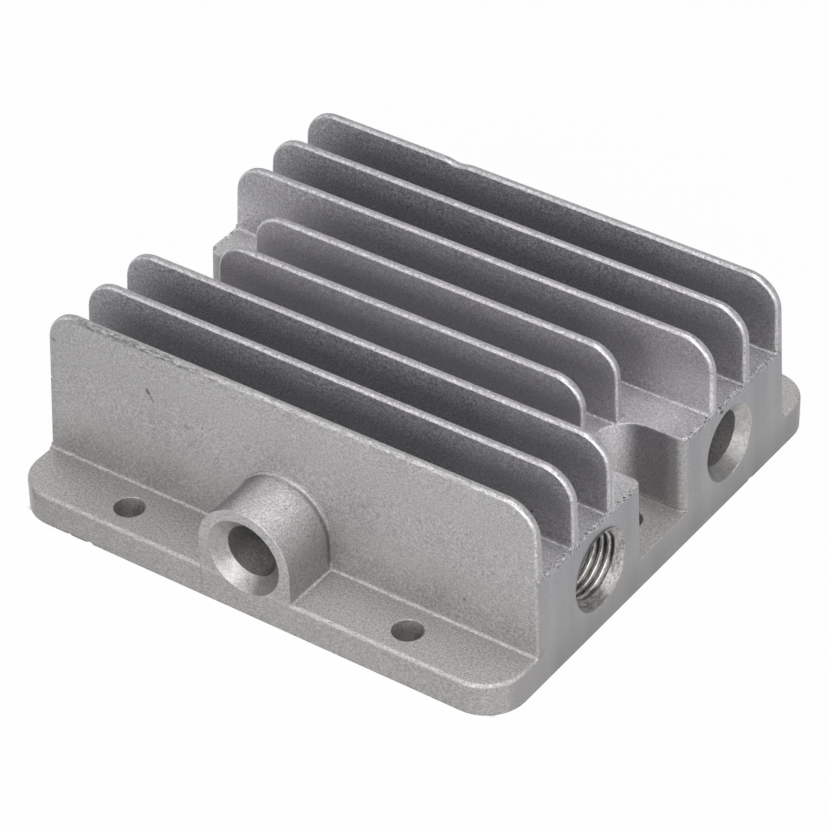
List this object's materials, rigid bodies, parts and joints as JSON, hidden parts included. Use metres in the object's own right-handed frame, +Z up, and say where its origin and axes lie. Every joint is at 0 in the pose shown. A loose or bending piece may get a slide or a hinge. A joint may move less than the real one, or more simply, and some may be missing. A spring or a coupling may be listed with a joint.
{
  "type": "compressor cylinder head",
  "caption": "Cast aluminium cylinder head with tall cooling fins on a square bolted flange, side ports and an inlet boss.",
  "frame": {"origin": "centre of the gasket face, on the surface that the head rests on", "axes": "+X along the fins towards the end with the two ports, +Y across the fins away from the inlet boss, +Z up towards the fin tips"},
  "size_m": [0.0972, 0.0962, 0.0344],
  "materials": {
    "cast_aluminium": "as cast, shot-blasted matte"
  },
  "bodies": {
    "root": {"cylinder_head": "cast_aluminium"}
  },
  "joints": []
}
